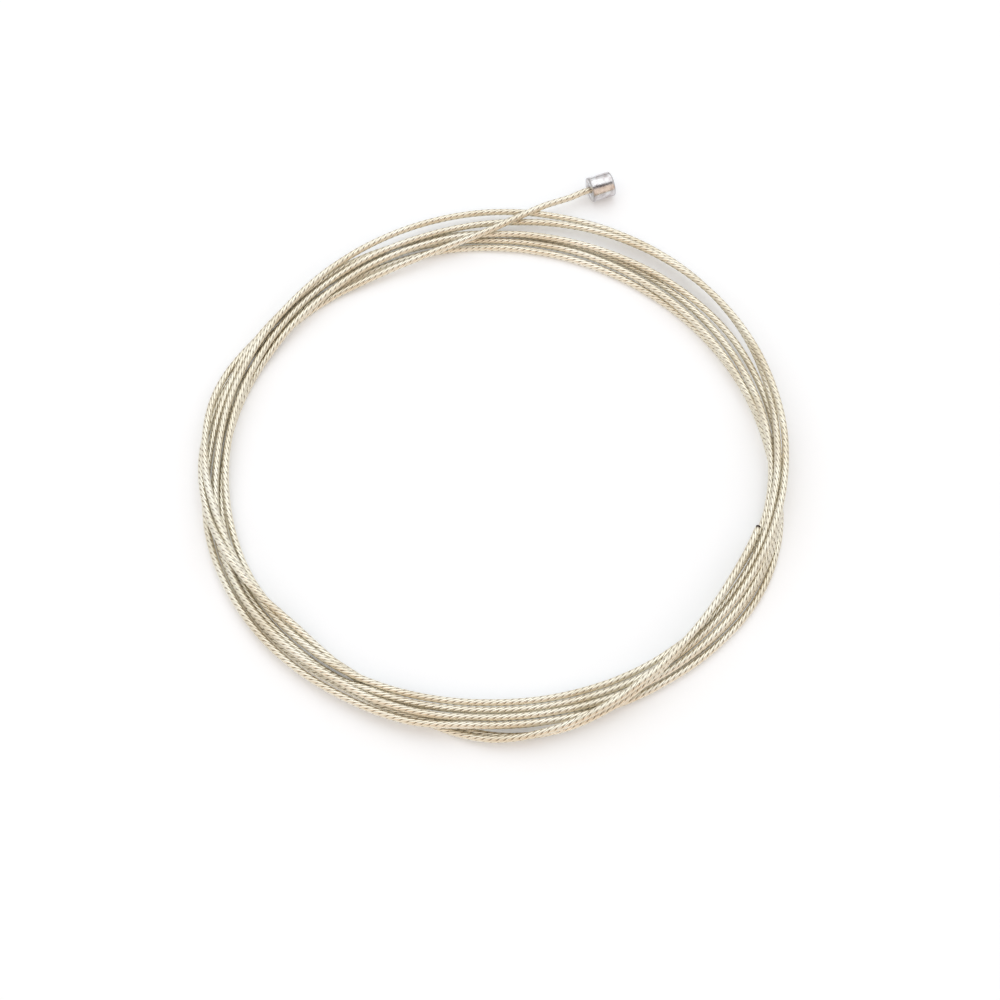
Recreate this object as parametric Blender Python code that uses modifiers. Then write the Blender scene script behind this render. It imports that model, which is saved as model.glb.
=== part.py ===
"""A bicycle shift cable: a wire strand with a head cast on one end, wound into a loose coil and laid flat.

Metres, +Z up. The origin is under the middle of the whole, on the surface that the cable lies on.
The strand starts in the head's socket, runs over the coil, and goes round and round to its bare tip.
"""
import bmesh
import bpy
import numpy as np
from mathutils import Vector

MM = 0.001

# Cable: its diameter over the outer wires
CABLE_DIAMETER = 1.2 * MM

# Head: a short cylinder on its side, with a blind socket for the strand in its inner end
HEAD_DIAMETER = 4.6 * MM
HEAD_LENGTH = 4.4 * MM
HEAD_EDGE = 0.25 * MM
SOCKET_DEPTH = 3.2 * MM
SOCKET_CLEARANCE = 0.12 * MM
END_GAP = 0.3 * MM
HEAD_HEADING = 20.0

# Lead: the short run of strand between the head and the first turn
LEAD_LENGTH = 3.6 * MM
LEAD_HEADING = 25.0
LEAD_STRAIGHT = 0.8 * MM

# Coil: its mean circle, the room between turns that touch, and where the strand starts and ends
COIL_RADIUS = 48.0 * MM
LAYING_CLEARANCE = 0.12 * MM
START_ANGLE = 75.0
END_ANGLE = 342.5
READING_ANGLE = 15.0
STATIONS_PER_TURN = 72

# How far each turn runs outside the mean circle, in mm, every 15 degrees anticlockwise.
# The first turn starts at 75 degrees, where the lead joins it, and the others at 0 degrees.
TURN_OFFSETS = (
    (7.9, -1.4, -4.6, -5.0, -3.5, -2.1, -1.0,
     -0.3, 0.7, 1.0, 0.7, 0.0, 0.5, 0.1, 0.0, -0.2, 0.7, 1.6, 1.7),
    (0.6, -1.7, -2.7, -3.1, -2.9, -2.7, -2.6, -2.0, -1.5, -0.6, 0.6, 2.1,
     1.4, -0.1, -1.2, -1.7, -1.9, -2.8, -3.4, -3.2, -2.5, -1.7, -0.8, 0.0),
    (0.7, 1.7, 2.9, 3.6, 3.7, 3.5, 3.0, 1.9, 0.6, -0.6, -0.8, -0.8,
     -0.7, 0.0, 0.7, 0.4, -0.1, -0.1, -0.7, -0.8, -0.1, 0.6, 1.2, 1.3),
    (0.9, 0.8, 0.6, -0.2, -1.0, -1.5, -1.8, -2.4, -2.9, -3.4, -3.1, -2.4,
     -1.7, -0.9, -0.3, -0.5, -0.7, -1.8, -2.4, -2.1, -1.3, -0.6, 0.4, 1.1),
    (1.7, 2.2, 2.7, 2.9, 2.6, 1.9, 0.7, -0.7, -1.3, -1.7, -2.2, -2.3,
     -2.2, -2.0, -2.0, -2.8, -2.9, -1.3, 1.6, 2.0, 0.3, -1.8, -2.1, -0.7),
    (-0.4, -0.9, -1.1, -1.1, -1.1, -1.2, -1.0, -0.6, -0.4, -0.5, 0.0, 0.3,
     0.8, 1.9, 2.1, 2.0, 1.6, 1.4, 0.3, 0.3, 0.8, 1.9, 2.8, 2.2),
    (-0.1, -1.5, -2.7, -3.6, -4.1, -4.2, -4.1, -3.7, -3.4, -2.3, -0.7, 1.3,
     2.0, 1.0, -1.0, -3.0, -2.3, -0.2, 2.4, 1.8, 0.0, -1.6, -2.1, -1.2),
)

# Which turn lies on which, lowest first, from each angle on
LYING_ORDER = (
    (0, "7264351"),
    (121, "1726435"),
    (162, "1764532"),
    (178, "1456372"),
    (191, "1456327"),
    (211, "5164327"),
    (228, "5716243"),
    (278, "1234657"),
    (329, "6153247"),
)

# Laying: how the strand's stiffness, its readings and its weight share in each round
ROUNDS = 500
LAST_ROUNDS = 30
STIFFNESS_SHARE = 0.5
READING_SHARE = 0.05
SINK_PER_ROUND = 0.004 * MM
STACKED_SHARE = 0.55
CROSSING_SHARE = 1.0
SWAP_ANGLE = 15.0

# Meshes
TUBE_RESOLUTION = 2
HEAD_SEGMENTS = 40
EDGE_SEGMENTS = 2
CUTTER_OVERRUN = 1.0 * MM


def remove_everything():
    for old in list(bpy.data.objects):
        bpy.data.objects.remove(old, do_unlink=True)


def collection(name):
    made = bpy.data.collections.new(name)
    bpy.context.scene.collection.children.link(made)
    return made


def metal(name, colour, roughness):
    made = bpy.data.materials.new(name)
    made.use_nodes = True
    shader = made.node_tree.nodes["Principled BSDF"]
    shader.inputs["Base Color"].default_value = (*colour, 1.0)
    shader.inputs["Metallic"].default_value = 1.0
    shader.inputs["Roughness"].default_value = roughness
    made.diffuse_color = (*colour, 1.0)
    return made


def heading(degrees):
    """The level direction at an angle from +X."""
    angle = np.radians(degrees)
    return np.array((np.cos(angle), np.sin(angle), 0.0))


def station_angles():
    """Angles along the whole strand, in degrees, growing by 360 with each turn."""
    end = START_ANGLE + READING_ANGLE * (sum(len(turn) for turn in TURN_OFFSETS) - 1)
    step = 360.0 / STATIONS_PER_TURN
    return np.arange(START_ANGLE, end + step / 2, step)


def read_radii(angles):
    """The radius wanted at each station: a cubic through the readings, with the slope of their neighbours."""
    readings = np.concatenate(TURN_OFFSETS) * MM + COIL_RADIUS
    slopes = np.gradient(readings)
    place = (angles - START_ANGLE) / READING_ANGLE
    first = np.minimum(place.astype(int), len(readings) - 2)
    t = place - first
    return ((2 * t**3 - 3 * t**2 + 1) * readings[first] + (t**3 - 2 * t**2 + t) * slopes[first]
            + (3 * t**2 - 2 * t**3) * readings[first + 1] + (t**3 - t**2) * slopes[first + 1])


def lying_ranks(angles):
    """How many turns lie lower than each station, by the order given for its angle."""
    ranks = np.zeros(len(angles))
    for station, angle in enumerate(angles):
        turn = str(int(angle // 360) + 1)
        order = [names for start, names in LYING_ORDER if angle % 360 >= start][-1]
        ranks[station] = order.index(turn)
    return ranks


def stiffen(values, wanted):
    """Take each station's departure part of the way to its neighbours' mean."""
    away = values - wanted
    values[1:-1] += STIFFNESS_SHARE * ((away[:-2] + away[2:]) / 2 - away[1:-1])


def part_turns(radii, heights, wanted, ranks):
    """Move turns apart where they touch: upwards where one crosses or covers another, and sideways elsewhere."""
    reach = CABLE_DIAMETER + LAYING_CLEARANCE
    run = COIL_RADIUS * np.radians(360 / STATIONS_PER_TURN)
    swap_stations = round(SWAP_ANGLE * STATIONS_PER_TURN / 360)
    window = np.ones(2 * swap_stations + 1)
    for turns_on in range(1, len(TURN_OFFSETS)):
        first = slice(None, -turns_on * STATIONS_PER_TURN)
        second = slice(turns_on * STATIONS_PER_TURN, None)
        gap = wanted[second] - wanted[first]
        lean = 1 / np.hypot(1, np.gradient(gap) / run)
        swaps = np.diff(np.sign(gap), prepend=np.sign(gap[0])) != 0
        by_swap = np.convolve(swaps, window, mode="same") > 0
        stacked = np.abs(gap) * lean < np.where(by_swap, CROSSING_SHARE, STACKED_SHARE) * reach

        side = np.sign(ranks[second] - ranks[first])
        across = (radii[second] - radii[first]) * lean
        above = side * (heights[second] - heights[first])
        lift = np.maximum(np.sqrt(np.maximum(reach**2 - across**2, 0)) - above, 0) / 2
        lift = np.where(stacked, lift, 0) * side
        heights[second] += lift
        heights[first] -= lift
        push = np.maximum(np.sqrt(np.maximum(reach**2 - above**2, 0)) - np.abs(across), 0) / 2
        push = np.where(stacked, 0, push) * np.sign(gap)
        radii[second] += push
        radii[first] -= push


def lay_turns(angles):
    """Radius and height of each station, once the turns lie beside and on each other on the floor."""
    wanted = read_radii(angles)
    ranks = lying_ranks(angles)
    radii = wanted.copy()
    heights = np.full(len(angles), CABLE_DIAMETER / 2)
    for step in range(ROUNDS):
        if step < ROUNDS - LAST_ROUNDS:
            stiffen(radii, wanted)
            stiffen(heights, 0)
            radii += READING_SHARE * (wanted - radii)
            heights -= SINK_PER_ROUND
        part_turns(radii, heights, wanted, ranks)
        heights = np.maximum(heights, CABLE_DIAMETER / 2)
        heights[0] = HEAD_DIAMETER / 2
    return radii, heights


def coil_points():
    """The strand's centreline round the coil, cut off at the tip's angle."""
    angles = station_angles()
    radii, heights = lay_turns(angles)
    tip = 360 * (len(TURN_OFFSETS) - 1) + END_ANGLE
    kept = np.append(angles[angles < tip], tip)
    radii = np.interp(kept, angles, radii)
    heights = np.interp(kept, angles, heights)
    turn = np.radians(kept)
    return np.column_stack((radii * np.cos(turn), radii * np.sin(turn), heights))


def cable_route():
    """The whole centreline from the socket to the tip, and the centre of the head's inner face."""
    coil = coil_points()
    face = coil[0] + LEAD_LENGTH * heading(LEAD_HEADING)
    axis = heading(HEAD_HEADING)
    inside = face + (SOCKET_DEPTH - END_GAP) * axis
    outside = face - LEAD_STRAIGHT * axis
    return np.vstack((inside, face, outside, coil)), face


def middle(route, face):
    """The point under the middle of the strand and the head together."""
    centre = face + heading(HEAD_HEADING) * HEAD_LENGTH / 2
    along = np.abs(heading(HEAD_HEADING))
    half = along * HEAD_LENGTH / 2 + np.sqrt(1 - along**2) * HEAD_DIAMETER / 2
    low = np.minimum(route.min(axis=0) - CABLE_DIAMETER / 2, centre - half)
    high = np.maximum(route.max(axis=0) + CABLE_DIAMETER / 2, centre + half)
    return np.array(((low[0] + high[0]) / 2, (low[1] + high[1]) / 2, 0.0))


def add_cable(group, route):
    curve = bpy.data.curves.new("cable", "CURVE")
    curve.dimensions = "3D"
    curve.bevel_depth = CABLE_DIAMETER / 2
    curve.bevel_resolution = TUBE_RESOLUTION
    curve.use_fill_caps = True
    line = curve.splines.new("POLY")
    line.points.add(len(route) - 1)
    line.points.foreach_set("co", np.column_stack((route, np.ones(len(route)))).ravel())
    line.use_smooth = True
    made = bpy.data.objects.new("cable", curve)
    made.data.materials.append(metal("bright_wire", (0.75, 0.71, 0.62), 0.3))
    group.objects.link(made)


def round_bar(name, diameter, low, high, segments):
    """A closed bar about its own Z axis, from one height to another."""
    shape = bmesh.new()
    bmesh.ops.create_cone(shape, cap_ends=True, segments=segments, radius1=diameter / 2,
                          radius2=diameter / 2, depth=high - low)
    bmesh.ops.translate(shape, verts=shape.verts, vec=(0, 0, (low + high) / 2))
    mesh = bpy.data.meshes.new(name)
    shape.to_mesh(mesh)
    shape.free()
    mesh.shade_smooth()
    mesh.set_sharp_from_angle(angle=np.radians(35))
    return bpy.data.objects.new(name, mesh)


def add_head(group, cutters, face):
    """The head on its side, its own Z axis running from its inner face to its outer one."""
    turned = Vector(heading(HEAD_HEADING)).to_track_quat("Z", "Y").to_euler()
    head = round_bar("head", HEAD_DIAMETER, 0, HEAD_LENGTH, HEAD_SEGMENTS)
    socket = round_bar("socket_cutter", CABLE_DIAMETER + 2 * SOCKET_CLEARANCE, -CUTTER_OVERRUN,
                       SOCKET_DEPTH, HEAD_SEGMENTS // 2)
    for piece in (head, socket):
        piece.location = face
        piece.rotation_euler = turned
    socket.hide_render = True
    socket.display_type = "WIRE"
    cutters.objects.link(socket)

    edge = head.modifiers.new("rounded_edges", "BEVEL")
    edge.width = HEAD_EDGE
    edge.segments = EDGE_SEGMENTS
    edge.limit_method = "ANGLE"
    cut = head.modifiers.new("socket", "BOOLEAN")
    cut.object = socket
    cut.operation = "DIFFERENCE"
    head.data.materials.append(metal("cast_head", (0.72, 0.71, 0.70), 0.35))
    group.objects.link(head)


def build():
    remove_everything()
    parts = collection("shift_cable")
    cutters = collection("cutters")
    route, face = cable_route()
    origin = middle(route, face)
    add_cable(parts, route - origin)
    add_head(parts, cutters, face - origin)


build()
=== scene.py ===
"""The looks of a bicycle shift cable: seven strands of bright wire, a cast head and a burnt tip.

The cable follows the same route as the solid tube that it replaces: a lead out of the head's socket, then
almost seven turns that lie beside and over each other. Lengths are in metres, angles in degrees.
"""

import bpy
import numpy as np
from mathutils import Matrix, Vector


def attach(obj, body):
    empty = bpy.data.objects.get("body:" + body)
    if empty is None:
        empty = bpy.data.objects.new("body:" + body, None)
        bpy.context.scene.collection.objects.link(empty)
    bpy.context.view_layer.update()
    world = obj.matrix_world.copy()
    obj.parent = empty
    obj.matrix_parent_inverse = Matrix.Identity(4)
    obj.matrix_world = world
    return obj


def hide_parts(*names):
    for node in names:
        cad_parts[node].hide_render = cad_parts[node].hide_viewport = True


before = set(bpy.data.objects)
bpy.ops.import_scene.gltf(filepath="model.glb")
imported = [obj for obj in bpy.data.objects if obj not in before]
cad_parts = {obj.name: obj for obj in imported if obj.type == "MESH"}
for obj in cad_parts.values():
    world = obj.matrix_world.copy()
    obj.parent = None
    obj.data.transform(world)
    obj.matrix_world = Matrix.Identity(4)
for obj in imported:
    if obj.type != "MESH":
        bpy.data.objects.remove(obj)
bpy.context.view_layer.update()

MM = 0.001
BODY = "root"
UPWARD = np.array((0.0, 0.0, 1.0))
WHITE = (1.0, 1.0, 1.0)

# The strand and the coil, as in the solid model
CABLE_DIAMETER = 1.2 * MM
HEAD_DIAMETER = 4.6 * MM
HEAD_LENGTH = 4.4 * MM
SOCKET_DEPTH = 3.2 * MM
SOCKET_CLEARANCE = 0.12 * MM
END_GAP = 0.3 * MM
HEAD_HEADING = 20.0
LEAD_LENGTH = 3.6 * MM
LEAD_HEADING = 25.0
LEAD_STRAIGHT = 0.8 * MM
COIL_RADIUS = 48.0 * MM
LAYING_CLEARANCE = 0.12 * MM
START_ANGLE = 75.0
END_ANGLE = 342.5
READING_ANGLE = 15.0
STATIONS_PER_TURN = 72

# How far each turn runs outside the mean circle, in mm, every 15 degrees anticlockwise
TURN_OFFSETS = (
    (7.9, -1.4, -4.6, -5.0, -3.5, -2.1, -1.0,
     -0.3, 0.7, 1.0, 0.7, 0.0, 0.5, 0.1, 0.0, -0.2, 0.7, 1.6, 1.7),
    (0.6, -1.7, -2.7, -3.1, -2.9, -2.7, -2.6, -2.0, -1.5, -0.6, 0.6, 2.1,
     1.4, -0.1, -1.2, -1.7, -1.9, -2.8, -3.4, -3.2, -2.5, -1.7, -0.8, 0.0),
    (0.7, 1.7, 2.9, 3.6, 3.7, 3.5, 3.0, 1.9, 0.6, -0.6, -0.8, -0.8,
     -0.7, 0.0, 0.7, 0.4, -0.1, -0.1, -0.7, -0.8, -0.1, 0.6, 1.2, 1.3),
    (0.9, 0.8, 0.6, -0.2, -1.0, -1.5, -1.8, -2.4, -2.9, -3.4, -3.1, -2.4,
     -1.7, -0.9, -0.3, -0.5, -0.7, -1.8, -2.4, -2.1, -1.3, -0.6, 0.4, 1.1),
    (1.7, 2.2, 2.7, 2.9, 2.6, 1.9, 0.7, -0.7, -1.3, -1.7, -2.2, -2.3,
     -2.2, -2.0, -2.0, -2.8, -2.9, -1.3, 1.6, 2.0, 0.3, -1.8, -2.1, -0.7),
    (-0.4, -0.9, -1.1, -1.1, -1.1, -1.2, -1.0, -0.6, -0.4, -0.5, 0.0, 0.3,
     0.8, 1.9, 2.1, 2.0, 1.6, 1.4, 0.3, 0.3, 0.8, 1.9, 2.8, 2.2),
    (-0.1, -1.5, -2.7, -3.6, -4.1, -4.2, -4.1, -3.7, -3.4, -2.3, -0.7, 1.3,
     2.0, 1.0, -1.0, -3.0, -2.3, -0.2, 2.4, 1.8, 0.0, -1.6, -2.1, -1.2),
)

# Which turn lies on which, lowest first, from each angle on
LYING_ORDER = (
    (0, "7264351"),
    (121, "1726435"),
    (162, "1764532"),
    (178, "1456372"),
    (191, "1456327"),
    (211, "5164327"),
    (228, "5716243"),
    (278, "1234657"),
    (329, "6153247"),
)

# Laying: how the strand's stiffness, its readings and its weight share in each round
ROUNDS = 500
LAST_ROUNDS = 30
STIFFNESS_SHARE = 0.5
READING_SHARE = 0.05
SINK_PER_ROUND = 0.004 * MM
STACKED_SHARE = 0.55
CROSSING_SHARE = 1.0
SWAP_ANGLE = 15.0

# The make-up of the cable: six strands laid left-handed round a straight one, and pressed nearly smooth.
# An outline point is given by its angle from the strand's outward side, on either side of it.
OUTER_STRANDS = 6
STRAND_DIAMETER = CABLE_DIAMETER / 3
CABLE_LAY = 7.02 * MM
CABLE_HAND = -1
OUTLINE_ANGLES = (12.0, 24.0, 38.0, 52.0, 66.0, 80.0, 95.0, 115.0)
PRESSED_SHARE = 0.60
PRESSED_TO = 90.0
RING_SPACING = 0.5 * MM
INNER_RING_STEP = 2
INNER_SIDES = 8

# The tip: how far back the strands are pinched together and by how much, the burnt end's reach and girth, and
# the smallest square that the share of the girth has at its two ends
PINCH_LENGTH = 1.2 * MM
PINCH_SHARE = 0.35
TIP_BACK = 0.30 * MM
TIP_FORWARD = 0.25 * MM
TIP_RADIUS = 0.43 * MM
TIP_END_SQUARE = 0.01
TIP_RINGS = 14
TIP_SIDES = 24

# The head's turned outline. Small flat caps close the socket's floor and the dimple, each with a share of the
# hole's radius. The casting is uneven beyond a share of the barrel's radius. Each wave on it has its count
# round the barrel, its radians to a metre along it, its start and its height against the others.
HEAD_EDGE = 0.25 * MM
EDGE_POINTS = 6
BARREL_RINGS = 12
HEAD_SIDES = 96
SOCKET_FILLET = 0.15 * MM
DIMPLE_RADIUS = 1.1 * MM
DIMPLE_FLOOR_SHARE = 0.6
DIMPLE_DEPTH = 0.12 * MM
CENTRE_SHARE = 0.02
BARREL_SHARE = 0.8
CAST_UNEVENNESS = 0.012 * MM
CAST_WAVES = ((3, 900.0, 0.0, 1.0), (7, -2100.0, 1.3, 0.6))

# Finishes: a noise's scale is its number of lumps to a metre, and a tone stands beside the mark of the noise
# from which it comes. Roughness runs between two values as a noise runs between its usual marks.
NOISE_DETAIL = 3.0
NOISE_MARKS = (0.3, 0.7)

WIRE_TONE_SCALE = 90.0
WIRE_TONES = ((0.30, (0.76, 0.68, 0.53)), (0.50, (0.87, 0.82, 0.69)), (0.70, (0.91, 0.88, 0.78)))
WIRE_SHEEN_SCALE = 700.0
WIRE_ROUGHNESS = (0.22, 0.36)

# The painted shade between the strands: how much higher it stands in a pit, how sharply a pit ends along the
# cable, and the two heights on a strand between which the painted shade fades out
VALLEY_SHADE = (0.34, 0.265, 0.18)
PIT_REACH = 0.62
PIT_SHARPNESS = 2.0
VALLEY_CROWN = -0.2
UNSHADED_CROWN = 0.1
VALLEY_BUMP_DEPTH = 0.01 * MM
VALLEY_BUMP_STRENGTH = 0.5

CAST_TONE_SCALE = 900.0
CAST_TONES = ((0.38, (0.55, 0.51, 0.51)), (0.62, (0.80, 0.80, 0.81)))
# Painted shade on the head's rounded rims, and how far in from a rim it fades out
RIM_SHADE = (0.42, 0.41, 0.41)
RIM_SHADE_REACH = 0.45 * MM
CAST_SHEEN_SCALE = 1500.0
CAST_ROUGHNESS = (0.12, 0.26)
CAST_SKIN_SCALE = 2600.0
CAST_SKIN_DETAIL = 5.0
CAST_SKIN_DEPTH = 0.03 * MM
CAST_SKIN_BUMP = 0.6

BURNT_TONE_SCALE = 3000.0
BURNT_TONES = ((0.4, (0.015, 0.010, 0.010)), (0.7, (0.09, 0.05, 0.04)))
BURNT_METAL = 0.6
BURNT_ROUGHNESS = 0.45

# The camera, measured from the coil's centre: what it looks at, from how far and how steeply
CAMERA_AIM = (1.20 * MM, -7.14 * MM, 0.0)
CAMERA_DISTANCE = 310.0 * MM
CAMERA_ELEVATION = 63.88
CAMERA_LENS = 65.34
SENSOR_WIDTH = 36.0
NEAREST_SEEN = 10.0 * MM

# The room's light, its tints and the heights or cosines between which they come in
WORLD_LIGHT = 1.0
GREY_LOW = (0.40, 0.40, 0.41)
GREY_BAND = (0.42, 0.05)
WARM_FRONT = (0.94, 0.76, 0.62)
WARM_BAND = (-0.2, -0.6)
DARK_PLACE = (0.08, 0.06, 0.06)
DARK_WAY = (0.26, -0.36, 0.895)
DARK_BAND = (0.95, 0.99)

# The lamp and the floor
LAMP_PLACE = (0.05, 0.35, 0.75)
LAMP_SIZE = 0.8
LAMP_POWER = 0.8
LAMP_COLOUR = (0.90, 0.96, 1.0)
FLOOR_SIZE = 3.0
FLOOR_COLOUR = (0.85, 0.875, 0.905)
FLOOR_ROUGHNESS = 0.9
FLOOR_GLOW = 0.19


def heading(degrees):
    """The level direction at an angle from +X."""
    angle = np.radians(degrees)
    return np.array((np.cos(angle), np.sin(angle), 0.0))


def unit(vectors):
    """Each vector, made one long."""
    return vectors / np.linalg.norm(vectors, axis=-1, keepdims=True)


def travelled(points):
    """How far along the line each point lies."""
    return np.concatenate(((0.0,), np.cumsum(np.linalg.norm(np.diff(points, axis=0), axis=1))))


def cubic(t, start, start_slope, end, end_slope):
    """The cubic from one value to the next with a given slope at each, at a share t of the way."""
    return ((2 * t**3 - 3 * t**2 + 1) * start + (t**3 - 2 * t**2 + t) * start_slope
            + (3 * t**2 - 2 * t**3) * end + (t**3 - t**2) * end_slope)


def station_angles():
    """Angles along the whole strand, in degrees, growing by 360 with each turn."""
    end = START_ANGLE + READING_ANGLE * (sum(len(turn) for turn in TURN_OFFSETS) - 1)
    step = 360.0 / STATIONS_PER_TURN
    return np.arange(START_ANGLE, end + step / 2, step)


def read_radii(angles):
    """The radius wanted at each station: a cubic through the readings, with the slope of their neighbours."""
    readings = np.concatenate(TURN_OFFSETS) * MM + COIL_RADIUS
    slopes = np.gradient(readings)
    place = (angles - START_ANGLE) / READING_ANGLE
    first = np.minimum(place.astype(int), len(readings) - 2)
    return cubic(place - first, readings[first], slopes[first], readings[first + 1], slopes[first + 1])


def lying_ranks(angles):
    """How many turns lie lower than each station, by the order given for its angle."""
    ranks = np.zeros(len(angles))
    for station, angle in enumerate(angles):
        turn = str(int(angle // 360) + 1)
        order = [names for start, names in LYING_ORDER if angle % 360 >= start][-1]
        ranks[station] = order.index(turn)
    return ranks


def stiffen(values, wanted):
    """Take each station's departure part of the way to its neighbours' mean."""
    away = values - wanted
    values[1:-1] += STIFFNESS_SHARE * ((away[:-2] + away[2:]) / 2 - away[1:-1])


def part_turns(radii, heights, wanted, ranks):
    """Move turns apart where they touch: upwards where one crosses or covers another, or else sideways."""
    reach = CABLE_DIAMETER + LAYING_CLEARANCE
    run = COIL_RADIUS * np.radians(360 / STATIONS_PER_TURN)
    swap_stations = round(SWAP_ANGLE * STATIONS_PER_TURN / 360)
    window = np.ones(2 * swap_stations + 1)
    for turns_on in range(1, len(TURN_OFFSETS)):
        first = slice(None, -turns_on * STATIONS_PER_TURN)
        second = slice(turns_on * STATIONS_PER_TURN, None)
        gap = wanted[second] - wanted[first]
        lean = 1 / np.hypot(1, np.gradient(gap) / run)
        swaps = np.diff(np.sign(gap), prepend=np.sign(gap[0])) != 0
        by_swap = np.convolve(swaps, window, mode="same") > 0
        stacked = np.abs(gap) * lean < np.where(by_swap, CROSSING_SHARE, STACKED_SHARE) * reach

        side = np.sign(ranks[second] - ranks[first])
        across = (radii[second] - radii[first]) * lean
        above = side * (heights[second] - heights[first])
        lift = np.maximum(np.sqrt(np.maximum(reach**2 - across**2, 0)) - above, 0) / 2
        lift = np.where(stacked, lift, 0) * side
        heights[second] += lift
        heights[first] -= lift
        push = np.maximum(np.sqrt(np.maximum(reach**2 - above**2, 0)) - np.abs(across), 0) / 2
        push = np.where(stacked, 0, push) * np.sign(gap)
        radii[second] += push
        radii[first] -= push


def lay_turns(angles):
    """Radius and height of each station, once the turns lie beside and on each other on the floor."""
    wanted = read_radii(angles)
    ranks = lying_ranks(angles)
    radii = wanted.copy()
    heights = np.full(len(angles), CABLE_DIAMETER / 2)
    for step in range(ROUNDS):
        if step < ROUNDS - LAST_ROUNDS:
            stiffen(radii, wanted)
            stiffen(heights, 0)
            radii += READING_SHARE * (wanted - radii)
            heights -= SINK_PER_ROUND
        part_turns(radii, heights, wanted, ranks)
        heights = np.maximum(heights, CABLE_DIAMETER / 2)
        heights[0] = HEAD_DIAMETER / 2
    return radii, heights


def coil_points():
    """The strand's centreline round the coil, cut off at the tip's angle."""
    angles = station_angles()
    radii, heights = lay_turns(angles)
    tip = 360 * (len(TURN_OFFSETS) - 1) + END_ANGLE
    kept = np.append(angles[angles < tip], tip)
    radii = np.interp(kept, angles, radii)
    heights = np.interp(kept, angles, heights)
    turn = np.radians(kept)
    return np.column_stack((radii * np.cos(turn), radii * np.sin(turn), heights))


def cable_route():
    """The whole centreline from the socket to the tip, and the centre of the head's inner face."""
    coil = coil_points()
    face = coil[0] + LEAD_LENGTH * heading(LEAD_HEADING)
    axis = heading(HEAD_HEADING)
    inside = face + (SOCKET_DEPTH - END_GAP) * axis
    outside = face - LEAD_STRAIGHT * axis
    return np.vstack((inside, face, outside, coil)), face


def middle(route, face):
    """The point under the middle of the strand and the head together."""
    centre = face + heading(HEAD_HEADING) * HEAD_LENGTH / 2
    along = np.abs(heading(HEAD_HEADING))
    half = along * HEAD_LENGTH / 2 + np.sqrt(1 - along**2) * HEAD_DIAMETER / 2
    low = np.minimum(route.min(axis=0) - CABLE_DIAMETER / 2, centre - half)
    high = np.maximum(route.max(axis=0) + CABLE_DIAMETER / 2, centre + half)
    return np.array(((low[0] + high[0]) / 2, (low[1] + high[1]) / 2, 0.0))


def along_route(points, spacing):
    """Even steps along the smooth line through the points: a cubic in each span, measured by its chord."""
    chord = travelled(points)
    slopes = np.gradient(points, chord, axis=0)
    where = np.linspace(0, chord[-1], int(chord[-1] / spacing) + 1)
    first = np.clip(np.searchsorted(chord, where, side="right") - 1, 0, len(points) - 2)
    span = (chord[first + 1] - chord[first])[:, None]
    share = (where - chord[first])[:, None] / span
    return cubic(share, points[first], span * slopes[first], points[first + 1], span * slopes[first + 1])


def directions(points):
    """At each point of a line: the way on, the level way to its left, and the way up from both."""
    on = unit(np.gradient(points, axis=0))
    left = unit(np.cross(UPWARD, on))
    return on, left, np.cross(on, left)


def put_in_scene(name, data):
    """A new object that holds a mesh, a lamp or a camera."""
    made = bpy.data.objects.new(name, data)
    bpy.context.scene.collection.objects.link(made)
    return made


def aim(made, place, way):
    """Put a camera or a lamp at a place, facing one way."""
    made.location = place
    made.rotation_euler = Vector(way).to_track_quat("-Z", "Y").to_euler()


def skin(name, rings, **values):
    """A closed mesh through rings of points, an array of rings by sides by 3.

    Each ring runs anticlockwise seen from the far end of the line, so the quads between neighbouring rings
    face out. The first and the last ring are closed by a flat cap. A value for each point, of any name, is
    kept as an attribute for the material.
    """
    count, sides = rings.shape[:2]
    corner = np.arange(count * sides).reshape(count, sides)
    beside = np.roll(corner, -1, axis=1)
    quads = np.stack((corner[:-1], beside[:-1], beside[1:], corner[1:]), axis=-1).reshape(-1)
    loops = np.concatenate((quads, corner[0, ::-1], corner[-1]))
    sizes = np.concatenate((np.full((count - 1) * sides, 4), (sides, sides)))
    starts = np.concatenate(((0,), np.cumsum(sizes)[:-1]))
    smooth = np.concatenate((np.ones((count - 1) * sides, bool), (False, False)))

    mesh = bpy.data.meshes.new(name)
    mesh.vertices.add(count * sides)
    mesh.vertices.foreach_set("co", rings.reshape(-1))
    mesh.loops.add(len(loops))
    mesh.loops.foreach_set("vertex_index", loops.astype(np.int32))
    mesh.polygons.add(len(sizes))
    mesh.polygons.foreach_set("loop_start", starts.astype(np.int32))
    mesh.polygons.foreach_set("use_smooth", smooth)
    mesh.update(calc_edges=True)
    for label, value in values.items():
        kept = mesh.attributes.new(label, "FLOAT", "POINT")
        kept.data.foreach_set("value", np.broadcast_to(value, rings.shape[:2]).reshape(-1).astype(np.float32))
    mesh.validate()
    return put_in_scene(name, mesh)


def tube_rings(points, across, up, radius, sides):
    """Rings of a round tube: each point plus radius times (across cos a + up sin a), a going once round."""
    angle = np.linspace(0, 2 * np.pi, sides, endpoint=False)[None, :, None]
    radius = np.broadcast_to(radius, len(points))[:, None, None]
    return points[:, None] + radius * (across[:, None] * np.cos(angle) + up[:, None] * np.sin(angle))


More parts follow.
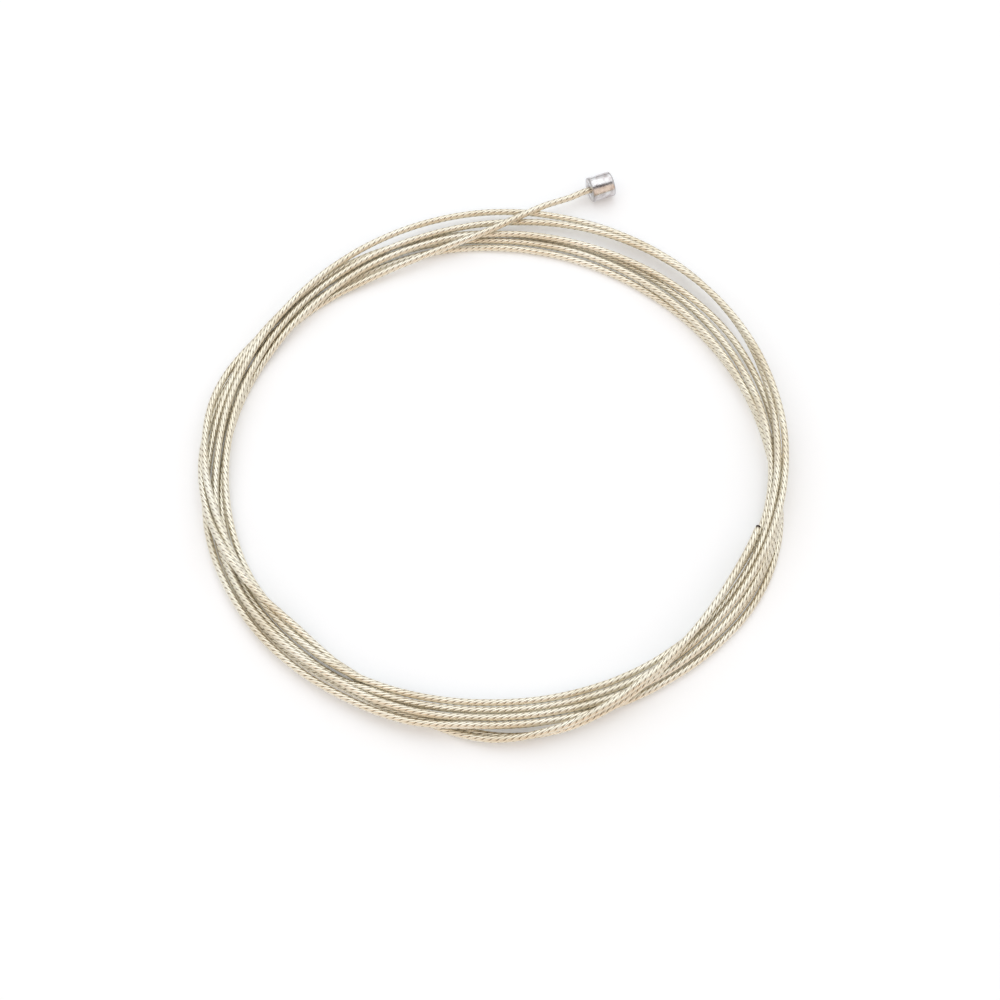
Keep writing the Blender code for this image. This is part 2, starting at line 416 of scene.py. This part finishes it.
def strand_outline():
    """A strand's outline from its middle, outward and sideways, and each point's angle from the way out.

    It is a circle, whose points are drawn a share of the way out to the cable's own circle. The share is full
    on the outer side, and falls to nothing where the strand meets its neighbours.
    """
    side = np.array(OUTLINE_ANGLES)
    angle = np.radians(np.concatenate((-side[::-1], (0.0,), side, (180.0,))))
    out = (CABLE_DIAMETER - STRAND_DIAMETER) / 2
    outward = out + STRAND_DIAMETER / 2 * np.cos(angle)
    sideways = STRAND_DIAMETER / 2 * np.sin(angle)
    reach = np.hypot(outward, sideways)
    last = side[-1]
    share = PRESSED_SHARE * np.clip((last - np.degrees(np.abs(angle))) / (last - PRESSED_TO), 0, 1)
    pressed = 1 + share * (CABLE_DIAMETER / 2 / reach - 1)
    return outward * pressed - out, sideways * pressed, angle


def outer_strand(number, points):
    """One of the six outer strands: its outline carried along a helix round the cable's line.

    The helix angle grows by a whole turn in each cable lay, and each strand starts a sixth of a turn on. The
    crown value is the cosine of a point's angle from the way out: one on top and less down the flanks. The
    crossings value counts the strands that have passed over one side of the cable. Near the tip, the helix
    and the outline both shrink by the square of the share of the way to the end.
    """
    on, left, up = directions(points)
    along = travelled(points)
    helix = 2 * np.pi * (CABLE_HAND * along / CABLE_LAY + number / OUTER_STRANDS)[:, None]
    out = left * np.cos(helix) + up * np.sin(helix)
    near_tip = np.clip(1 - (along[-1] - along) / PINCH_LENGTH, 0, 1)[:, None]
    pinch = 1 - PINCH_SHARE * near_tip**2
    line = points + out * pinch * (CABLE_DIAMETER - STRAND_DIAMETER) / 2
    strand_on = unit(np.gradient(line, axis=0))
    across = unit(out - strand_on * np.sum(out * strand_on, axis=1, keepdims=True))
    beside = np.cross(strand_on, across)
    outward, sideways, angle = strand_outline()
    outline = across[:, None] * outward[:, None] + beside[:, None] * sideways[:, None]
    crossings = along[:, None] * OUTER_STRANDS / CABLE_LAY
    return skin(f"outer_strand_{number + 1}", line[:, None] + pinch[..., None] * outline,
                crown=np.cos(angle), crossings=crossings)


def inner_strand(points):
    """The straight strand in the middle, which shows only between the others: a round tube."""
    on, left, up = directions(points)
    return skin("inner_strand", tube_rings(points, left, up, STRAND_DIAMETER / 2, INNER_SIDES))


def burnt_tip(points):
    """The fused end: a barrel with two round ends.

    Its radius goes with the root of one less the fourth power of the share of the way from its middle.
    """
    on, left, up = directions(points)
    share = np.sin(np.linspace(-np.pi / 2, np.pi / 2, TIP_RINGS))
    reach = (TIP_FORWARD - TIP_BACK) / 2 + share * (TIP_FORWARD + TIP_BACK) / 2
    girth = TIP_RADIUS * np.sqrt(np.maximum(1 - share**4, TIP_END_SQUARE))
    line = points[-1] + reach[:, None] * on[-1]
    return skin("burnt_tip", tube_rings(line, left[-1:], up[-1:], girth, TIP_SIDES))


def quarter(start_x, start_r, end_x, end_r):
    """A quarter of an ellipse between two points of an outline, leaving the first one square to the axis."""
    angle = np.linspace(0, np.pi / 2, EDGE_POINTS)
    return np.column_stack((start_x + (end_x - start_x) * (1 - np.cos(angle)),
                            start_r + (end_r - start_r) * np.sin(angle)))


def head_outline():
    """The head's turned outline, as the way along its axis and the radius of each point.

    It runs from the bottom of the socket over the inner face, the rounded edges and the barrel to the dimple
    in the outer face. The point where the socket's wall meets its fillet is there twice, and the shading breaks
    there.
    """
    hole = CABLE_DIAMETER / 2 + SOCKET_CLEARANCE
    barrel = HEAD_DIAMETER / 2
    barrel_x = np.linspace(HEAD_EDGE, HEAD_LENGTH - HEAD_EDGE, BARREL_RINGS + 2)[1:-1]
    dimple_x = HEAD_LENGTH - DIMPLE_DEPTH
    return np.vstack((
        ((SOCKET_DEPTH, hole * CENTRE_SHARE), (SOCKET_DEPTH, hole), (SOCKET_FILLET, hole)),
        quarter(SOCKET_FILLET, hole, 0, hole + SOCKET_FILLET),
        quarter(0, barrel - HEAD_EDGE, HEAD_EDGE, barrel),
        np.column_stack((barrel_x, np.full(BARREL_RINGS, barrel))),
        quarter(HEAD_LENGTH, barrel - HEAD_EDGE, HEAD_LENGTH - HEAD_EDGE, barrel)[::-1],
        ((HEAD_LENGTH, DIMPLE_RADIUS), (dimple_x, DIMPLE_RADIUS * DIMPLE_FLOOR_SHARE)),
        ((dimple_x, hole * CENTRE_SHARE),),
    ))


def cast_head(face):
    """The head: its outline turned about its axis.

    The barrel is slightly uneven: its radius has long waves, each the sine of a whole number of times the
    angle round it plus a share of the way along it. The value from_edge is the distance, in the plane of the
    outline, from the nearer of the barrel's two rims.
    """
    reach, radius = np.hsplit(head_outline(), 2)
    barrel = HEAD_DIAMETER / 2
    from_edge = np.hypot(np.minimum(reach, HEAD_LENGTH - reach), barrel - radius)
    angle = np.linspace(0, 2 * np.pi, HEAD_SIDES, endpoint=False)[None, :]
    waves = sum(height * np.sin(count * angle + along * reach + start)
                for count, along, start, height in CAST_WAVES)
    highest = sum(height for *_, height in CAST_WAVES)
    radius = radius - CAST_UNEVENNESS * (radius > barrel * BARREL_SHARE) * (1 + waves / highest) / 2
    axis = heading(HEAD_HEADING)
    left = np.cross(UPWARD, axis)
    across = np.cos(angle)[..., None] * left + np.sin(angle)[..., None] * UPWARD
    rings = face + reach[..., None] * axis + radius[..., None] * across
    return skin("cast_head_body", rings, from_edge=from_edge)


class Paint:
    """The nodes of a material or of the world, added one after the other up to its shader."""

    def __init__(self, owner, shader="Principled BSDF"):
        owner.use_nodes = True
        self.owner = owner
        self.nodes = owner.node_tree.nodes
        self.links = owner.node_tree.links
        self.shader = self.nodes[shader]

    def feed(self, value, socket):
        """Give a socket another node's output, or a plain number, direction or colour."""
        if isinstance(value, bpy.types.NodeSocket):
            self.links.new(value, socket)
        elif socket.type == "RGBA":
            socket.default_value = (*value, 1.0)
        else:
            socket.default_value = value

    def feed_all(self, node, inputs):
        """Feed a node's inputs by name, with an underscore for each space."""
        for name, value in inputs.items():
            self.feed(value, node.inputs[name.replace("_", " ")])

    def finish(self, **inputs):
        """Feed the shader."""
        self.feed_all(self.shader, inputs)

    def node(self, kind, **inputs):
        """Add a node and feed it."""
        made = self.nodes.new(kind)
        self.feed_all(made, inputs)
        return made

    def noise(self, scale, detail=NOISE_DETAIL):
        """A noise on the object's own coordinates, from nought to one."""
        place = self.node("ShaderNodeTexCoord").outputs["Object"]
        return self.node("ShaderNodeTexNoise", Vector=place, Scale=scale, Detail=detail).outputs["Fac"]

    def attribute(self, name):
        """A value that the mesh has for each point."""
        made = self.node("ShaderNodeAttribute")
        made.attribute_name = name
        return made.outputs["Fac"]

    def arithmetic(self, kind, *values):
        """One step of arithmetic on plain numbers and other nodes' outputs."""
        made = self.node("ShaderNodeMath")
        made.operation = kind
        for value, socket in zip(values, made.inputs):
            self.feed(value, socket)
        return made.outputs["Value"]

    def spread(self, value, low, high):
        """Nought up to the first mark, one from the other on, and smooth between."""
        made = self.node("ShaderNodeMapRange", Value=value, From_Min=low, From_Max=high)
        made.interpolation_type = "SMOOTHSTEP"
        return made.outputs["Result"]

    def ramp(self, factor, stops):
        """Colours that change as a factor passes their marks."""
        made = self.node("ShaderNodeValToRGB", Fac=factor)
        points = made.color_ramp.elements
        while len(points) < len(stops):
            points.new(0.5)
        for point, (mark, colour) in zip(points, stops):
            point.position = mark
            point.color = (*colour, 1.0)
        return made.outputs["Color"]

    def greys(self, noise, low, high):
        """A number that runs between two values as a noise runs between its usual marks."""
        return self.ramp(noise, [(mark, (grey,) * 3) for mark, grey in zip(NOISE_MARKS, (low, high))])

    def mix(self, share, low, high):
        """One colour where the share is nought, and the other where it is one."""
        made = self.node("ShaderNodeMix")
        made.data_type = "RGBA"
        first, second = [socket for socket in made.inputs if socket.type == "RGBA"]
        self.feed(share, made.inputs["Factor"])
        self.feed(low, first)
        self.feed(high, second)
        return next(socket for socket in made.outputs if socket.type == "RGBA")

    def bump(self, height, distance, strength):
        """Raise the surface by a height."""
        made = self.node("ShaderNodeBump", Height=height, Distance=distance, Strength=strength)
        self.finish(Normal=made.outputs["Normal"])


def bright_wire():
    """Drawn steel wire: pale straw, with greyer and browner stretches and a slight change of sheen.

    Painted shade darkens the valleys between the strands, most of it in small pits, one at each crossing. The
    wire is free of the painted shade where its crown less the pit lies above the marks. The pit is a reach
    times a power of half of one less the cosine of a whole turn for each crossing.
    """
    paint = Paint(bpy.data.materials.new("bright_drawn_wire"))
    tone = paint.ramp(paint.noise(WIRE_TONE_SCALE), WIRE_TONES)
    # Painted shade in the valleys between the strands, deepest in a pit at each crossing
    turns = paint.arithmetic("MULTIPLY", paint.attribute("crossings"), 2 * np.pi)
    share = paint.arithmetic("MULTIPLY_ADD", paint.arithmetic("COSINE", turns), -0.5, 0.5)
    pit = paint.arithmetic("MULTIPLY", paint.arithmetic("POWER", share, PIT_SHARPNESS), PIT_REACH)
    above = paint.arithmetic("SUBTRACT", paint.attribute("crown"), pit)
    unshaded_wire = paint.spread(above, VALLEY_CROWN, UNSHADED_CROWN)
    paint.finish(Base_Color=paint.mix(unshaded_wire, VALLEY_SHADE, tone), Metallic=1.0,
                 Roughness=paint.greys(paint.noise(WIRE_SHEEN_SCALE), *WIRE_ROUGHNESS))
    paint.bump(unshaded_wire, VALLEY_BUMP_DEPTH, VALLEY_BUMP_STRENGTH)
    return paint.owner


def cast_metal():
    """Bright cast zinc alloy: silver, with faint warm stains, painted shade on the rounded edges, a grainy skin
    and small pits.
    """
    paint = Paint(bpy.data.materials.new("bright_cast_zinc"))
    tone = paint.ramp(paint.noise(CAST_TONE_SCALE), CAST_TONES)
    # Painted shade on the rounded rims, fading out over its reach from the rim
    bright = paint.spread(paint.attribute("from_edge"), 0.0, RIM_SHADE_REACH)
    paint.finish(Base_Color=paint.mix(bright, RIM_SHADE, tone), Metallic=1.0,
                 Roughness=paint.greys(paint.noise(CAST_SHEEN_SCALE), *CAST_ROUGHNESS))
    paint.bump(paint.noise(CAST_SKIN_SCALE, CAST_SKIN_DETAIL), CAST_SKIN_DEPTH, CAST_SKIN_BUMP)
    return paint.owner


def burnt_steel():
    """The cut end, fused by heat: near black, with a brown cast."""
    paint = Paint(bpy.data.materials.new("burnt_steel"))
    tone = paint.ramp(paint.noise(BURNT_TONE_SCALE), BURNT_TONES)
    paint.finish(Base_Color=tone, Metallic=BURNT_METAL, Roughness=BURNT_ROUGHNESS)
    return paint.owner


def seen_share(paint):
    """One for rays from the camera and from glossy and clear surfaces, and nought for all other light."""
    rays = paint.node("ShaderNodeLightPath").outputs
    seen = paint.arithmetic("MAXIMUM", rays["Is Camera Ray"], rays["Is Glossy Ray"])
    return paint.arithmetic("MAXIMUM", seen, rays["Is Transmission Ray"])


def add_floor():
    """A wide white sheet at the height that the coil lies on."""
    corners = np.array(((-1, -1, 0), (1, -1, 0), (1, 1, 0), (-1, 1, 0))) * FLOOR_SIZE / 2
    mesh = bpy.data.meshes.new("floor")
    mesh.from_pydata(corners.tolist(), [], [(0, 1, 2, 3)])
    paint = Paint(bpy.data.materials.new("white_paper"))
    glow = paint.arithmetic("MULTIPLY", seen_share(paint), FLOOR_GLOW)
    paint.finish(Base_Color=FLOOR_COLOUR, Roughness=FLOOR_ROUGHNESS,
                 Emission_Color=WHITE, Emission_Strength=glow)
    mesh.materials.append(paint.owner)
    put_in_scene("floor", mesh)


def add_world():
    """A bright room, greyer low down and warmer in front, with a dark place beside the camera.

    Rays from the camera see plain white.
    """
    world = bpy.data.worlds.new("studio")
    bpy.context.scene.world = world
    paint = Paint(world, "Background")
    way = paint.node("ShaderNodeTexCoord").outputs["Generated"]
    parts = paint.node("ShaderNodeSeparateXYZ", Vector=way).outputs
    facing = paint.node("ShaderNodeVectorMath")
    facing.operation = "DOT_PRODUCT"
    paint.feed(way, facing.inputs[0])
    paint.feed(DARK_WAY, facing.inputs[1])
    rays = paint.node("ShaderNodeLightPath").outputs

    colour = paint.mix(paint.spread(parts["Z"], *GREY_BAND), WHITE, GREY_LOW)
    colour = paint.mix(paint.spread(parts["Y"], *WARM_BAND), colour, WARM_FRONT)
    colour = paint.mix(paint.spread(facing.outputs["Value"], *DARK_BAND), colour, DARK_PLACE)
    colour = paint.mix(rays["Is Camera Ray"], colour, WHITE)
    paint.finish(Color=colour, Strength=WORLD_LIGHT)


def add_lamp():
    """A soft round lamp above and behind the coil."""
    lamp = bpy.data.lights.new("back_softbox", "AREA")
    lamp.shape = "DISK"
    lamp.size = LAMP_SIZE
    lamp.energy = LAMP_POWER
    lamp.color = LAMP_COLOUR
    aim(put_in_scene("back_softbox", lamp), LAMP_PLACE, -Vector(LAMP_PLACE))


def add_camera(coil_centre):
    """The camera in front of the coil, looking down on it."""
    steep = np.radians(CAMERA_ELEVATION)
    away = np.array((0.0, -np.cos(steep), np.sin(steep)))
    camera = bpy.data.cameras.new("camera")
    camera.lens = CAMERA_LENS
    camera.sensor_width = SENSOR_WIDTH
    camera.clip_start = NEAREST_SEEN
    made = put_in_scene("camera", camera)
    aim(made, coil_centre + np.array(CAMERA_AIM) + CAMERA_DISTANCE * away, -away)
    bpy.context.scene.camera = made


def finish_piece(piece, material, node):
    """Give a piece its material and its body, and hide the solid that it stands for."""
    piece.data.materials.append(material)
    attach(piece, BODY)
    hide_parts(node)


def build():
    """Make the camera, the cable and its head, and then the room."""
    route, face = cable_route()
    coil_centre = -middle(route, face)
    route = route + coil_centre
    face = face + coil_centre
    fine = along_route(route, RING_SPACING)
    add_camera(coil_centre)

    steel = bright_wire()
    strands = [outer_strand(number, fine) for number in range(OUTER_STRANDS)]
    middle_strand = inner_strand(fine[::INNER_RING_STEP])
    for strand in (*strands, middle_strand):
        finish_piece(strand, steel, "cable")
    tip = burnt_tip(fine)
    finish_piece(tip, burnt_steel(), "cable")
    head = cast_head(face)
    finish_piece(head, cast_metal(), "head")

    add_floor()
    add_world()
    add_lamp()
    bpy.context.scene.view_settings.view_transform = "Standard"


build()
bpy.context.view_layer.update()
